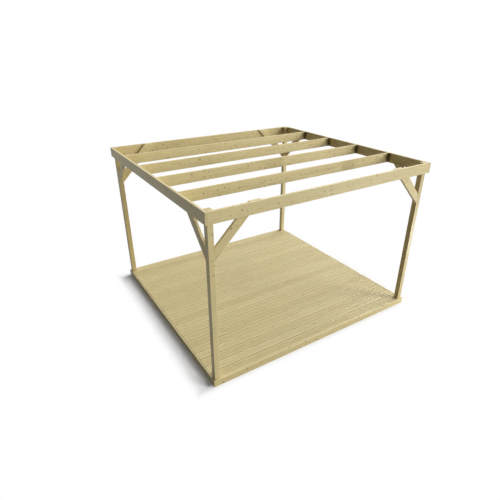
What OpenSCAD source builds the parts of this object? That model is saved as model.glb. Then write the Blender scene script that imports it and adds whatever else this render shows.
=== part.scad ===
// Open garden pergola standing on its own timber deck: four corner posts, a roof ring of four beams,
// rafters level with the ring, knee braces in every corner and grooved deck boards on a joist frame.
// Sizes are in millimetres. +Z is up and the ground is z = 0.
// X runs along the front beam, -Y is the front, and the origin is under the middle of the deck.

/* [Overall] */
// Width of the roof ring over its outer faces, left to right
ring_width = 3600; // [3000:1:4400]
// Depth of the roof ring over its outer faces, front to back
ring_depth = 3428; // [2900:1:4200]
// Height from the ground to the top of the roof ring
total_height = 2390; // [2100:1:2700]
// Width of the flat planed off each long edge of a timber, measured along the face
edge_ease = 3; // [1:0.5:5]

/* [Roof frame] */
// Side of the square posts
post_size = 76; // [65:1:100]
// Height of the ring beams and rafters
beam_height = 146; // [100:1:180]
// Thickness of the ring beams
beam_thick = 35; // [28:1:60]
// Thickness of the rafters
rafter_thick = 30; // [24:1:60]
// How far the rafters stand behind an even spacing between the front and back beams
rafter_shift = 48; // [0:1:80]

/* [Knee braces] */
// Width of a brace across its face
brace_width = 110; // [80:1:130]
// Thickness of a brace
brace_thick = 35; // [28:1:60]
// Clear run from the post to the upper edge of a brace, along the top of the roof ring
brace_reach = 449; // [350:1:520]
// How far a side brace laps up the inner face of its beam
side_lap = 15; // [10:1:60]

/* [Deck] */
// Width of a deck board, which is trimmed a little so that whole boards fill the deck
board_width = 141; // [110:1:160]
// Thickness of a deck board
board_thick = 24; // [20:1:40]
// Open joint between neighbouring boards, and from the boards to the posts and the side edge boards
board_gap = 5; // [3:1:10]
// Grooves along the top of a board
groove_count = 8; // [4:1:10]
// Distance from one groove to the next
groove_pitch = 13; // [10:0.5:13]
// Width of a groove at its mouth
groove_width = 6; // [4:0.5:8]
// Width of a groove at its floor
groove_floor = 3; // [2:0.5:4]
// Depth of a groove
groove_depth = 3; // [2:0.5:5]
// Thickness of the edge boards round the deck
fascia_thick = 21; // [15:1:30]
// Radius of the edge boards' outer top edge
fascia_round = 8; // [3:1:12]
// Height of the joists under the boards
joist_height = 70; // [60:1:120]
// Thickness of the joists
joist_thick = 45; // [35:1:60]
// Joists between the left and right rim joists
joist_count = 7; // [5:1:9]

/* [Hidden] */
// Outer faces of the posts, which are the inner faces of the ring and of the edge boards
post_x = ring_width / 2 - beam_thick;
post_y = ring_depth / 2 - beam_thick;
// Inner faces of the posts
inner_x = post_x - post_size;
inner_y = post_y - post_size;
// Underside of the beams and top of the deck
beam_base = total_height - beam_height;
deck_top = joist_height + board_thick;
// Four rafters share the depth of the ring evenly, then stand back together
rafter_pitch = (ring_depth - beam_thick) / 5;
first_rafter = -ring_depth / 2 + rafter_pitch + rafter_shift;
last_rafter = first_rafter + 3 * rafter_pitch;
// Braces run at 45 degrees, so a level cut across one is this long
brace_cut = brace_width * sqrt(2);
brace_tip = brace_reach + brace_cut;
// A side brace ends low on its beam, and plumb against a rafter that stands nearer than its tip
side_top = beam_base + side_lap;
side_tip = brace_tip - total_height + side_top;
front_stop = min(side_tip, first_rafter + inner_y);
back_stop = min(side_tip, inner_y - last_rafter - rafter_thick);
// Whole boards fill the deck from the front edge board to a joint in front of the back one
board_count = round(2 * post_y / (board_width + board_gap));
board_pitch = 2 * post_y / board_count;
board_cut = board_pitch - board_gap;
board_end = post_x - board_gap;
// The grooves stand in the middle of a board
first_groove = (board_cut - (groove_count - 1) * groove_pitch) / 2;
// What a cutting shape stands over the faces that it cuts
cut_over = 10;
timber = [0.80, 0.73, 0.53];
timber_deck = [0.76, 0.68, 0.48];
timber_hidden = [0.70, 0.64, 0.46];
$fn = 24;

// What is built at the left or front, repeated on the other side
module on_right() {
  mirror([1, 0, 0])
    children();
}

module at_back() {
  mirror([0, 1, 0])
    children();
}

// Section of a planed timber with its four long edges eased
module section(thick, height) {
  difference() {
    square([thick, height]);
    for (x = [0, thick])
      for (y = [0, height])
        translate([x, y])
          rotate(45)
            square(edge_ease * sqrt(2), center = true);
  }
}

// A profile drawn thickness by height, run along X from the origin
module along_x(length) {
  rotate([90, 0, 90])
    linear_extrude(height = length)
      children();
}

// The same profile run along Y, with its thickness to the right
module along_y(length) {
  translate([0, length, 0])
    rotate([90, 0, 0])
      linear_extrude(height = length)
        children();
}

module post() {
  translate([-post_x, -post_y, 0])
    linear_extrude(height = total_height)
      section(post_size, post_size);
}

// Timber across the roof between the side beams, with its front face at y
module cross_timber(y, thick) {
  translate([-post_x, y, beam_base])
    along_x(2 * post_x)
      section(thick, beam_height);
}

module side_beam() {
  translate([-post_x - beam_thick, -ring_depth / 2, beam_base])
    along_y(ring_depth)
      section(beam_thick, beam_height);
}

// Brace that leaves a post at the origin and rises along +X at 45 degrees,
// cut plumb at the post, level at its top, and plumb where it is stopped
module brace(stop, top) {
  intersection() {
    translate([0, 0, total_height - brace_tip])
      rotate([0, -45, 0])
        along_x(2 * brace_tip)
          section(brace_thick, brace_width);
    translate([0, -cut_over, 0])
      cube([stop, brace_thick + 2 * cut_over, top]);
  }
}

// Brace from a front post up behind the front beam, level with the top of the ring
module cross_brace() {
  translate([-inner_x, -post_y, 0])
    brace(brace_tip, total_height);
}

// Brace from a front post up to the foot of a side beam
module side_brace(stop) {
  translate([-post_x + brace_thick, -inner_y, 0])
    rotate(90)
      brace(stop, side_top);
}

// Section of an edge board, its outer face at x = 0, with a rounded top edge there
module fascia_section() {
  difference() {
    square([fascia_thick, deck_top]);
    difference() {
      translate([-cut_over, deck_top - fascia_round])
        square([cut_over + fascia_round, cut_over + fascia_round]);
      translate([fascia_round, deck_top - fascia_round])
        circle(fascia_round);
    }
  }
}

// Edge board across the front, which covers the ends of the side ones
module cross_fascia() {
  translate([-post_x - fascia_thick, -post_y - fascia_thick, 0])
    along_x(2 * (post_x + fascia_thick))
      fascia_section();
}

module side_fascia() {
  translate([-post_x - fascia_thick, -post_y, 0])
    along_y(2 * post_y)
      fascia_section();
}

// Rim joists run from post to post
module cross_rim() {
  translate([-inner_x, -post_y, 0])
    along_x(2 * inner_x)
      section(joist_thick, joist_height);
}

module side_rim() {
  translate([-post_x, -inner_y, 0])
    along_y(2 * inner_y)
      section(joist_thick, joist_height);
}

// Section of a groove, standing on its floor, with sides that lean apart to its mouth
module groove_section() {
  lean = (groove_width - groove_floor) / 2 / groove_depth;
  top = groove_depth + cut_over;
  polygon([
    [-groove_floor / 2, 0],
    [groove_floor / 2, 0],
    [groove_floor / 2 + lean * top, top],
    [-groove_floor / 2 - lean * top, top]
  ]);
}

// Section of a deck board, eased and grooved along its top
module board_section() {
  difference() {
    section(board_cut, board_thick);
    for (i = [0 : groove_count - 1])
      translate([first_groove + i * groove_pitch, board_thick - groove_depth])
        groove_section();
  }
}

// Board number index, counted from the front
module board(index) {
  translate([-board_end, -post_y + index * board_pitch, joist_height])
    along_x(2 * board_end)
      board_section();
}

// The first and last boards are notched round the posts
module notched_board(index) {
  notch = 2 * (post_size + board_gap);
  difference() {
    board(index);
    for (x = [-post_x, post_x])
      for (y = [-post_y, post_y])
        translate([x, y, deck_top])
          cube([notch, notch, 2 * board_thick + cut_over], center = true);
  }
}

module front_left_post() {
  color(timber) post();
}

module front_right_post() {
  color(timber) on_right() post();
}

module back_left_post() {
  color(timber) at_back() post();
}

module back_right_post() {
  color(timber) at_back() on_right() post();
}

module front_beam() {
  color(timber) cross_timber(-post_y - beam_thick, beam_thick);
}

module back_beam() {
  color(timber) cross_timber(post_y, beam_thick);
}

module left_beam() {
  color(timber) side_beam();
}

module right_beam() {
  color(timber) on_right() side_beam();
}

module rafter_1() {
  color(timber) cross_timber(first_rafter, rafter_thick);
}

module rafter_2() {
  color(timber) cross_timber(first_rafter + rafter_pitch, rafter_thick);
}

module rafter_3() {
  color(timber) cross_timber(first_rafter + 2 * rafter_pitch, rafter_thick);
}

module rafter_4() {
  color(timber) cross_timber(last_rafter, rafter_thick);
}

module front_beam_left_brace() {
  color(timber) cross_brace();
}

module front_beam_right_brace() {
  color(timber) on_right() cross_brace();
}

module back_beam_left_brace() {
  color(timber) at_back() cross_brace();
}

module back_beam_right_brace() {
  color(timber) at_back() on_right() cross_brace();
}

module left_beam_front_brace() {
  color(timber) side_brace(front_stop);
}

module left_beam_back_brace() {
  color(timber) at_back() side_brace(back_stop);
}

module right_beam_front_brace() {
  color(timber) on_right() side_brace(front_stop);
}

module right_beam_back_brace() {
  color(timber) at_back() on_right() side_brace(back_stop);
}

module front_fascia() {
  color(timber_deck) cross_fascia();
}

module back_fascia() {
  color(timber_deck) at_back() cross_fascia();
}

module left_fascia() {
  color(timber_deck) side_fascia();
}

module right_fascia() {
  color(timber_deck) on_right() side_fascia();
}

module front_rim_joist() {
  color(timber_hidden) cross_rim();
}

module back_rim_joist() {
  color(timber_hidden) at_back() cross_rim();
}

module left_rim_joist() {
  color(timber_hidden) side_rim();
}

module right_rim_joist() {
  color(timber_hidden) on_right() side_rim();
}

module inner_joists() {
  rim_line = post_x - joist_thick / 2;
  bay = 2 * rim_line / (joist_count + 1);
  color(timber_hidden)
    for (i = [1 : joist_count])
      translate([-rim_line + i * bay - joist_thick / 2, -post_y + joist_thick, 0])
        along_y(2 * (post_y - joist_thick))
          section(joist_thick, joist_height);
}

module front_board() {
  color(timber_deck) notched_board(0);
}

module deck_boards() {
  color(timber_deck)
    for (i = [1 : board_count - 2])
      board(i);
}

module back_board() {
  color(timber_deck) notched_board(board_count - 1);
}

front_left_post();
front_right_post();
back_left_post();
back_right_post();
front_beam();
back_beam();
left_beam();
right_beam();
rafter_1();
rafter_2();
rafter_3();
rafter_4();
front_beam_left_brace();
front_beam_right_brace();
back_beam_left_brace();
back_beam_right_brace();
left_beam_front_brace();
left_beam_back_brace();
right_beam_front_brace();
right_beam_back_brace();
front_fascia();
back_fascia();
left_fascia();
right_fascia();
front_rim_joist();
back_rim_joist();
left_rim_joist();
right_rim_joist();
inner_joists();
front_board();
deck_boards();
back_board();
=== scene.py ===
import math

import bmesh
import bpy
from mathutils import Matrix, Vector


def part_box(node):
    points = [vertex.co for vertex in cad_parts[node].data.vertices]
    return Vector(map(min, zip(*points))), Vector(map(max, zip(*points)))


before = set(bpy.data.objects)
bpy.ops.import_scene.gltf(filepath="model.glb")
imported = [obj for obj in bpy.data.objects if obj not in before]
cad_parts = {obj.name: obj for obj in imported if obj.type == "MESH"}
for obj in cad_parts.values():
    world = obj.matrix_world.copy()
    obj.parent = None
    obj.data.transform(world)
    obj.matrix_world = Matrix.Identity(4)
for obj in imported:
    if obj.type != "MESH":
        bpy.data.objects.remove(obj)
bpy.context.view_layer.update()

# Where the timbers run: along the front, from front to back, and upright.
SIDEWAYS = Vector((1, 0, 0))
BACKWARDS = Vector((0, 1, 0))
UPRIGHT = Vector((0, 0, 1))

# Colours of pressure-treated softwood, from the pale early wood to the dark late wood.
PALE_WOOD = (0.765, 0.655, 0.350)
MIDDLE_WOOD = (0.650, 0.533, 0.256)
DARK_WOOD = (0.455, 0.339, 0.133)
GREEN_CAST = (0.575, 0.520, 0.245)
KNOT_HEART = (0.165, 0.082, 0.030)
KNOT_RIM = (0.390, 0.240, 0.092)
SPLIT_SHADE = (0.130, 0.095, 0.045)
END_GRAIN = (0.540, 0.435, 0.215)
# The near-black used for painted shade in corners, grooves and open joints.
PAINTED_SHADE = (0.060, 0.050, 0.026)
# The patch of timber in which one knot may sit, the share of such patches that have one, a knot's
# smallest radius, and what the largest adds to it.
KNOT_CELL = 0.098
KNOT_SHARE = 0.74
KNOT_RADIUS = 0.0034
KNOT_GROWTH = 0.0062
# One year's growth, and the depth of the grain's relief.
RING_PITCH = 0.0062
GRAIN_DEPTH = 0.0011
# How dull planed timber is, and how dull the boards that are walked on.
PLANED_ROUGHNESS = 0.50
WALKED_ROUGHNESS = 0.57


class Value:
    """One output of a shader node, so that shader maths reads as Python arithmetic."""

    def __init__(self, finish, socket):
        self.finish = finish
        self.socket = socket

    def __getitem__(self, name):
        return Value(self.finish, self.socket.node.outputs[name])

    def __add__(self, other):
        return self.finish.maths("ADD", self, other)

    def __radd__(self, other):
        return self.finish.maths("ADD", other, self)

    def __sub__(self, other):
        return self.finish.maths("SUBTRACT", self, other)

    def __rsub__(self, other):
        return self.finish.maths("SUBTRACT", other, self)

    def __mul__(self, other):
        return self.finish.maths("MULTIPLY", self, other)

    def __rmul__(self, other):
        return self.finish.maths("MULTIPLY", other, self)

    def __truediv__(self, other):
        return self.finish.maths("DIVIDE", self, other)


class Finish:
    """A material, or the air of the studio, built up node by node."""

    def __init__(self, holder):
        self.holder = holder
        holder.use_nodes = True
        self.tree = holder.node_tree
        self.tree.nodes.clear()

    def node(self, kind, settings=None, inputs=None, out=0):
        """Adds a node: its settings first, then the values or links of its sockets."""
        made = self.tree.nodes.new(kind)
        for name, setting in (settings or {}).items():
            if name == "stops":
                ramp = made.color_ramp
                while len(ramp.elements) < len(setting):
                    ramp.elements.new(0.5)
                for stop, (place, colour) in zip(ramp.elements, setting):
                    stop.position = place
                    stop.color = (*colour, 1)
            else:
                setattr(made, name, setting)
        for name, value in (inputs or {}).items():
            socket = made.inputs[name]
            if isinstance(value, Value):
                self.tree.links.new(value.socket, socket)
            elif socket.type == "RGBA" and len(value) == 3:
                socket.default_value = (*value, 1)
            else:
                socket.default_value = value
        return Value(self, made.outputs[out]) if made.outputs else None

    def maths(self, operation, *values):
        return self.node("ShaderNodeMath", {"operation": operation}, dict(enumerate(values)))

    def ease(self, value, start, end):
        """0 before start and 1 after end, smooth between them."""
        return self.node("ShaderNodeMapRange", {"interpolation_type": "SMOOTHSTEP"},
                         {"Value": value, "From Min": start, "From Max": end})

    def mix(self, first, second, factor, kind="MIX"):
        return self.node("ShaderNodeMix", {"data_type": "RGBA", "blend_type": kind},
                         {0: factor, 6: first, 7: second}, out=2)

    def point(self, x, y, z):
        return self.node("ShaderNodeCombineXYZ", None, {"X": x, "Y": y, "Z": z})

    def noise(self, place, detail=2.0, roughness=0.5):
        return self.node("ShaderNodeTexNoise", {"noise_dimensions": "3D"},
                         {"Vector": place, "Scale": 1.0, "Detail": detail, "Roughness": roughness})

    def random(self, number, salt):
        """A number from 0 to 1 for each whole number."""
        return self.node("ShaderNodeTexWhiteNoise", {"noise_dimensions": "2D"},
                         {"Vector": self.point(number, salt, 0.0)})

    def put_on(self, piece):
        piece.data.materials.clear()
        piece.data.materials.append(self.holder)


def timber_turn(grain, thickness):
    """The turn that lays a timber's own axes along its grain, across its face and through it."""
    return Matrix((grain, thickness.cross(grain), thickness)).transposed().to_euler("XYZ")


def wood(name, centre, grain, thickness, seed, pith, spacing=None, tone=0.0, sawn=0.0, knots=1.0,
         figure=1.0, top=None, corners=None):
    """Treated softwood: growth rings about a pith beside the timber, fibres and streaks along the
    grain, knots that the grain flows round, drying splits, end grain on the cut ends.
    spacing: the pitch of equal timbers side by side in one node, each with a log of its own.
    figure: how strongly rings, streaks and clouds are drawn.
    top: the height of a grooved walking face above the timber's middle, with painted shade below it.
    corners: where another timber butts against this one, along the grain from its middle: the first
    place, the step to the next one, how far from there the painted shade of the corner darkens the
    wood, and the way that the shaded face looks, or None for both wide faces."""
    f = Finish(bpy.data.materials.new(name))
    coordinates = f.node("ShaderNodeTexCoord", None, None, "Object")
    own = f.node("ShaderNodeMapping", {"vector_type": "TEXTURE"},
                 {"Vector": coordinates, "Location": centre, "Rotation": timber_turn(grain, thickness)})
    axes = f.node("ShaderNodeSeparateXYZ", None, {"Vector": own})
    along, face, depth = axes["X"], axes["Y"], axes["Z"]
    place = along
    shade = tone
    if spacing:
        axis, pitch = spacing
        across = face if axis == "face" else depth
        row = f.maths("FLOOR", across / pitch + 0.5)
        centred = across - row * pitch
        face, depth = (centred, depth) if axis == "face" else (face, centred)
        along = along + f.random(row, seed) * 40.0
        shade = tone + (f.random(row, seed + 7.3) - 0.5) * 0.34
        swing = f.random(row, seed + 3.1) * 0.10 - 0.05
        ring_face, ring_depth = face + swing, depth + pith[1]
    else:
        along = along + seed * 5.3
        ring_face, ring_depth = face + pith[0], depth + pith[1]

    # How far a surface faces along the grain, across the face or through the timber.
    normal = f.node("ShaderNodeTexCoord", None, None, "Normal")

    def turned_to(axis):
        return f.node("ShaderNodeVectorMath", {"operation": "DOT_PRODUCT"},
                      {0: normal, 1: tuple(axis)}, "Value")

    end = f.ease(f.maths("ABSOLUTE", turned_to(grain)), 0.80, 0.95)
    edge = f.ease(f.maths("ABSOLUTE", turned_to(thickness.cross(grain))), 0.60, 0.80)

    # Knots sit on the surface that is looked at: on the wide face or on the narrow edge.
    second = face + (depth + 0.313 - face) * edge
    rough_edge = f.noise(f.point(along * 60.0, face * 120.0, depth * 120.0), 2.0)
    spot = f.node("ShaderNodeTexVoronoi", {"voronoi_dimensions": "2D", "feature": "F1"},
                  {"Vector": f.point(along + seed * 1.7, second + seed * 0.63, 0.0),
                   "Scale": 1 / KNOT_CELL, "Randomness": 0.95})
    lot = f.node("ShaderNodeSeparateColor", None, {"Color": spot["Color"]})
    chosen = f.ease(lot["Green"], 1.0 - KNOT_SHARE * knots, 1.02 - KNOT_SHARE * knots)
    size = (KNOT_RADIUS + lot["Red"] * lot["Red"] * KNOT_GROWTH) * chosen
    away = spot["Distance"] * KNOT_CELL + (rough_edge - 0.5) * 0.005
    heart = f.ease(away, size, size * 0.5)
    halo = f.ease(away, size * 3.4, size * 0.8)

    # Growth rings, pushed aside by the knots and wandering slowly along the log.
    wander = f.noise(f.point(along * 0.9, face * 2.0, depth * 2.0), 1.0)
    ripple = f.noise(f.point(along * 3.0, face * 26.0, depth * 26.0), 2.0)
    drift = (wander - 0.5) * 0.055
    radius = f.maths("SQRT", (ring_face + drift) * (ring_face + drift)
                     + (ring_depth + drift) * (ring_depth + drift))
    radius = radius + (ripple - 0.5) * 0.0030 + halo * 0.0075
    late = f.ease(f.maths("SINE", radius * (2 * math.pi / RING_PITCH)), 0.05, 0.98)

    # Fibres, streaks and clouds of tone along the grain.
    fibre = f.noise(f.point(along * 9.0, face * 620.0, depth * 620.0), 2.0)
    streak = f.noise(f.point(along * 1.1, face * 46.0, depth * 46.0), 3.0, 0.55)
    cloud = f.noise(f.point(along * 2.6 + 11.0, face * 7.0, depth * 7.0), 3.0, 0.6)
    damp = f.noise(f.point(along * 0.7 + 31.0, face * 2.5, depth * 2.5), 2.0)

    dark = (0.49 + ((late - 0.5) * 0.26 + (streak - 0.5) * 0.55 + (cloud - 0.5) * 0.42) * figure
            + (fibre - 0.5) * 0.22 + shade)
    colour = f.node("ShaderNodeValToRGB",
                    {"stops": [(0.0, PALE_WOOD), (0.5, MIDDLE_WOOD), (1.0, DARK_WOOD)]}, {"Fac": dark})
    colour = f.mix(colour, GREEN_CAST, f.ease(damp, 0.42, 0.74) * 0.34)
    colour = f.mix(colour, KNOT_RIM, halo * halo * 0.50)
    colour = f.mix(colour, KNOT_HEART, heart * 0.80)

    # Fine drying splits that follow the grain, here and there.
    seam = f.noise(f.point(along * 1.3 + 5.0, face * 34.0 + 3.0, depth * 34.0), 1.0)
    where = f.noise(f.point(along * 1.9 + 17.0, face * 5.0, depth * 5.0), 1.0)
    split = f.ease(f.maths("ABSOLUTE", seam - 0.5), 0.0065, 0.0015) * f.ease(where, 0.56, 0.66)
    colour = f.mix(colour, SPLIT_SHADE, split * 0.65)

    # The cut ends drink more of the treatment and are a little rougher.
    colour = f.mix(colour, f.mix(END_GRAIN, colour, 0.45 + late * 0.2), end)

    # Painted shade: the wood darkens towards the corners where another timber butts against it.
    if corners:
        first, step, reach, way = corners
        gap = f.maths("ABSOLUTE", f.maths("WRAP", place - first, step / 2, -step / 2))
        shaded_face = f.ease(turned_to(way), 0.60, 0.80) if way else 1.0 - edge
        corner_shade = f.ease(gap, reach, reach * 0.15) * (0.75 + (cloud - 0.5) * 0.8)
        colour = f.mix(colour, PAINTED_SHADE, corner_shade * shaded_face)
    if top is not None:
        # Painted shade in the grooves, in the open joints and along the boards' edges, but not
        # underneath.
        sunk = top - axes["Z"]
        joint = f.ease(f.maths("ABSOLUTE", face), 0.0660, 0.0698)
        groove_shade = f.maths("MINIMUM", f.ease(sunk, 0.0008, 0.0028) * 0.42
                        + f.ease(sunk, 0.0030, 0.0060) * 0.55 + joint * 0.36, 1.0)
        not_under = f.ease(turned_to(thickness), -0.80, -0.60)
        colour = f.mix(colour, PAINTED_SHADE, groove_shade * not_under)

    height = fibre * 0.30 - late * 0.35 + streak * 0.20 - split * 1.6 - heart * 0.5
    if sawn:
        stroke = f.noise(f.point(along * 190.0, face * 9.0, depth * 9.0), 1.0)
        height = height + stroke * sawn
    dull = PLANED_ROUGHNESS if top is None else WALKED_ROUGHNESS
    rough = dull + (streak - 0.5) * 0.20 - late * 0.06 + end * 0.16 + split * 0.2 - heart * 0.12
    bump = f.node("ShaderNodeBump", None,
                  {"Strength": 0.55, "Distance": GRAIN_DEPTH, "Height": height})
    shader = f.node("ShaderNodeBsdfPrincipled", None,
                    {"Base Color": colour, "Roughness": rough, "Normal": bump, "IOR": 1.50})
    f.node("ShaderNodeOutputMaterial", None, {"Surface": shader})
    return f


def middle(node):
    low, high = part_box(node)
    return (low + high) / 2


def dress(node, grain, thickness, seed, pith, **extra):
    """Gives one CAD node a log of its own."""
    timber = wood(node + "_wood", middle(node), grain, thickness, seed, pith, **extra)
    timber.put_on(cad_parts[node])


# Posts: squared timbers with the pith near one corner.
for seed, (node, pith, tone) in enumerate((("front_left_post", (0.045, 0.050), -0.06),
                                           ("front_right_post", (-0.052, 0.044), 0.24),
                                           ("back_left_post", (0.048, -0.047), 0.31),
                                           ("back_right_post", (-0.043, -0.052), 0.02))):
    dress(node, UPRIGHT, BACKWARDS, 1.0 + seed, pith, tone=tone)

# Where the rafters butt against the side beams, and how far apart they stand. The corners at the
# right-hand beam lie in its shade, and that shade is painted into the wood there.
ring_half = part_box("rafter_1")[1].x
rafter_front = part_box("rafter_1")[0].y
rafter_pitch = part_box("rafter_2")[0].y - rafter_front

# Ring beams and rafters: flat-sawn, so the rings show as long flames on the wide faces.
for seed, (node, tone) in enumerate((("front_beam", -0.12), ("back_beam", 0.24), ("rafter_1", 0.04),
                                     ("rafter_2", 0.02), ("rafter_3", 0.05), ("rafter_4", 0.01))):
    dress(node, SIDEWAYS, -BACKWARDS, 11.0 + seed, (0.030 - 0.012 * seed, 0.058 + 0.006 * (seed % 3)),
          tone=tone, corners=(ring_half, 4 * ring_half, 0.078, None) if "rafter" in node else None)
dress("left_beam", BACKWARDS, SIDEWAYS, 21.0, (0.018, 0.062), tone=-0.22)
dress("right_beam", BACKWARDS, SIDEWAYS, 22.0, (-0.012, 0.062), tone=0.22,
      corners=(rafter_front, rafter_pitch, 0.060, -SIDEWAYS))

# Knee braces: the grain climbs at 45 degrees from the post to the beam.
for seed, (node, lean) in enumerate((("front_beam_left_brace", 1), ("front_beam_right_brace", -1),
                                     ("back_beam_left_brace", 1), ("back_beam_right_brace", -1))):
    dress(node, Vector((lean, 0, 1)).normalized(), BACKWARDS, 31.0 + seed, (0.020, 0.055))
for seed, (node, lean) in enumerate((("left_beam_front_brace", 1), ("left_beam_back_brace", -1),
                                     ("right_beam_front_brace", 1), ("right_beam_back_brace", -1))):
    dress(node, Vector((0, lean, 1)).normalized(), SIDEWAYS, 41.0 + seed, (-0.018, 0.055))

# Deck edge boards and the joist frame under the boards.
for seed, node in enumerate(("front_fascia", "back_fascia")):
    dress(node, SIDEWAYS, -BACKWARDS, 51.0 + seed, (0.012, 0.045), tone=0.02, knots=1.3)
for seed, node in enumerate(("left_fascia", "right_fascia")):
    dress(node, BACKWARDS, SIDEWAYS, 55.0 + seed, (-0.015, 0.045), tone=0.02, knots=1.3)
for seed, node in enumerate(("front_rim_joist", "back_rim_joist")):
    dress(node, SIDEWAYS, -BACKWARDS, 61.0 + seed, (0.025, 0.060), tone=0.10, sawn=0.5)
for seed, node in enumerate(("left_rim_joist", "right_rim_joist")):
    dress(node, BACKWARDS, SIDEWAYS, 65.0 + seed, (-0.025, 0.060), tone=0.10, sawn=0.5)

# Joists side by side in one node; each gets a log of its own from its place in the row.
joist_low, joist_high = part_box("inner_joists")
JOIST_THICK = 0.045
JOIST_COUNT = 7
joist_pitch = (joist_high.x - joist_low.x - JOIST_THICK) / (JOIST_COUNT - 1)
dress("inner_joists", BACKWARDS, SIDEWAYS, 71.0, (0.025, 0.060), spacing=("depth", joist_pitch),
      tone=0.10, sawn=0.5)

# Deck boards: one row of boards over three nodes, all centred on the middle board of the row.
BOARD_PITCH = 0.146
board_middle = middle("deck_boards")
board_wood = wood("deck_board_wood", board_middle, SIDEWAYS, UPRIGHT, 81.0, (0.0, 0.052),
                  spacing=("face", BOARD_PITCH), tone=-0.10, knots=0.7, figure=0.6,
                  top=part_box("deck_boards")[1].z - board_middle.z)
for node in ("front_board", "deck_boards", "back_board"):
    board_wood.put_on(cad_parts[node])


# The white studio floor. It keeps the shadow close round the deck and runs out to plain white;
# what it throws back at the timber is softer than what the eye sees.
FLOOR_BOUNCE = 0.20
FLOOR_GLOW = 0.06
deck_half_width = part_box("right_fascia")[1].x
deck_half_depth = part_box("back_fascia")[1].y


def seen_rays(f):
    """1 for what the camera, a gloss or a clear piece looks at, 0 for light thrown on."""
    path = f.node("ShaderNodeLightPath")
    return f.maths("MINIMUM", path["Is Camera Ray"] + path["Is Glossy Ray"]
                   + path["Is Transmission Ray"], 1.0)


def studio_floor():
    mesh = bpy.data.meshes.new("studio_floor")
    sheet = bmesh.new()
    bmesh.ops.create_grid(sheet, x_segments=1, y_segments=1, size=60.0)
    bmesh.ops.translate(sheet, verts=sheet.verts, vec=(0, 0, -0.0006))
    sheet.to_mesh(mesh)
    sheet.free()
    floor = bpy.data.objects.new("studio_floor", mesh)
    bpy.context.scene.collection.objects.link(floor)
    f = Finish(bpy.data.materials.new("studio_white"))
    seen = seen_rays(f)
    coordinates = f.node("ShaderNodeTexCoord", None, None, "Object")
    place = f.node("ShaderNodeSeparateXYZ", None, {"Vector": coordinates})
    beyond_side = f.maths("ABSOLUTE", place["X"]) - deck_half_width
    beyond_front = f.maths("ABSOLUTE", place["Y"]) - deck_half_depth
    fade = f.maths("MAXIMUM", f.ease(beyond_side, 0.12, 0.30), f.ease(beyond_front, -0.10, 0.10))
    fade = f.maths("MAXIMUM", fade, FLOOR_GLOW)
    thrown = f.node("ShaderNodeBsdfDiffuse", None, {"Color": (FLOOR_BOUNCE,) * 3})
    shown = f.node("ShaderNodeBsdfDiffuse", None, {"Color": (1, 1, 1)})
    white = f.node("ShaderNodeEmission", None, {"Color": (1, 1, 1), "Strength": 1.0})
    near = f.node("ShaderNodeMixShader", None, {0: seen, 1: thrown, 2: shown})
    surface = f.node("ShaderNodeMixShader", None, {0: fade * seen, 1: near, 2: white})
    f.node("ShaderNodeOutputMaterial", None, {"Surface": surface})
    f.put_on(floor)


def soft_sun(name, x, y, height, strength, spread, colour=(1, 1, 1)):
    """Even light from the side x, y at that many degrees up, as from a wide bank of softboxes."""
    lamp = bpy.data.lights.new(name, "SUN")
    lamp.energy, lamp.angle, lamp.color = strength, math.radians(spread), colour
    level = Vector((x, y, 0)).normalized() * math.cos(math.radians(height))
    fall = -level - UPRIGHT * math.sin(math.radians(height))
    holder = bpy.data.objects.new(name, lamp)
    holder.rotation_euler = fall.to_track_quat("-Z", "Y").to_euler()
    bpy.context.scene.collection.objects.link(holder)


# Banks of softboxes to the right and in front, a weak cool fill at the left, and a small lamp near the
# ground that brightens the right-hand end of the front.
studio_floor()
soft_sun("right_bank", 0.95, 0.31, 37, 1.52, 34)
soft_sun("right_high_bank", 1.0, 0.0, 62, 0.50, 34)
soft_sun("back_bank", 0.60, 0.80, 40, 0.80, 34)
soft_sun("front_low_bank", 0.69, -0.72, 12, 1.66, 26)
soft_sun("front_bank", 0.75, -0.66, 26, 1.06, 26)
soft_sun("left_fill", -0.75, 0.66, 25, 0.32, 55, (0.94, 0.98, 1.07))
low_lamp = bpy.data.lights.new("low_side_lamp", "POINT")
low_lamp.energy, low_lamp.shadow_soft_size = 175.0, 0.05
low_holder = bpy.data.objects.new("low_side_lamp", low_lamp)
low_holder.location = (3.9, -3.37, 0.10)
low_holder.visible_camera = False
bpy.context.scene.collection.objects.link(low_holder)

# White air behind everything, which is seen but throws no light on the timber.
air = Finish(bpy.data.worlds.new("studio_air"))
bpy.context.scene.world = air.holder
background = air.node("ShaderNodeBackground", None, {"Color": (1, 1, 1), "Strength": seen_rays(air)})
air.node("ShaderNodeOutputWorld", None, {"Surface": background})

# The camera of the photograph.
camera_data = bpy.data.cameras.new("photo_camera")
camera_data.sensor_fit = "HORIZONTAL"
camera_data.sensor_width = 36.0
camera_data.lens = 29.103
camera = bpy.data.objects.new("photo_camera", camera_data)
camera.location = (-3.44025, -5.14835, 3.89126)
camera.rotation_euler = Vector((0.47782, 0.75278, -0.45278)).to_track_quat("-Z", "Y").to_euler()
bpy.context.scene.collection.objects.link(camera)
bpy.context.scene.camera = camera

bpy.context.scene.view_settings.view_transform = "Standard"
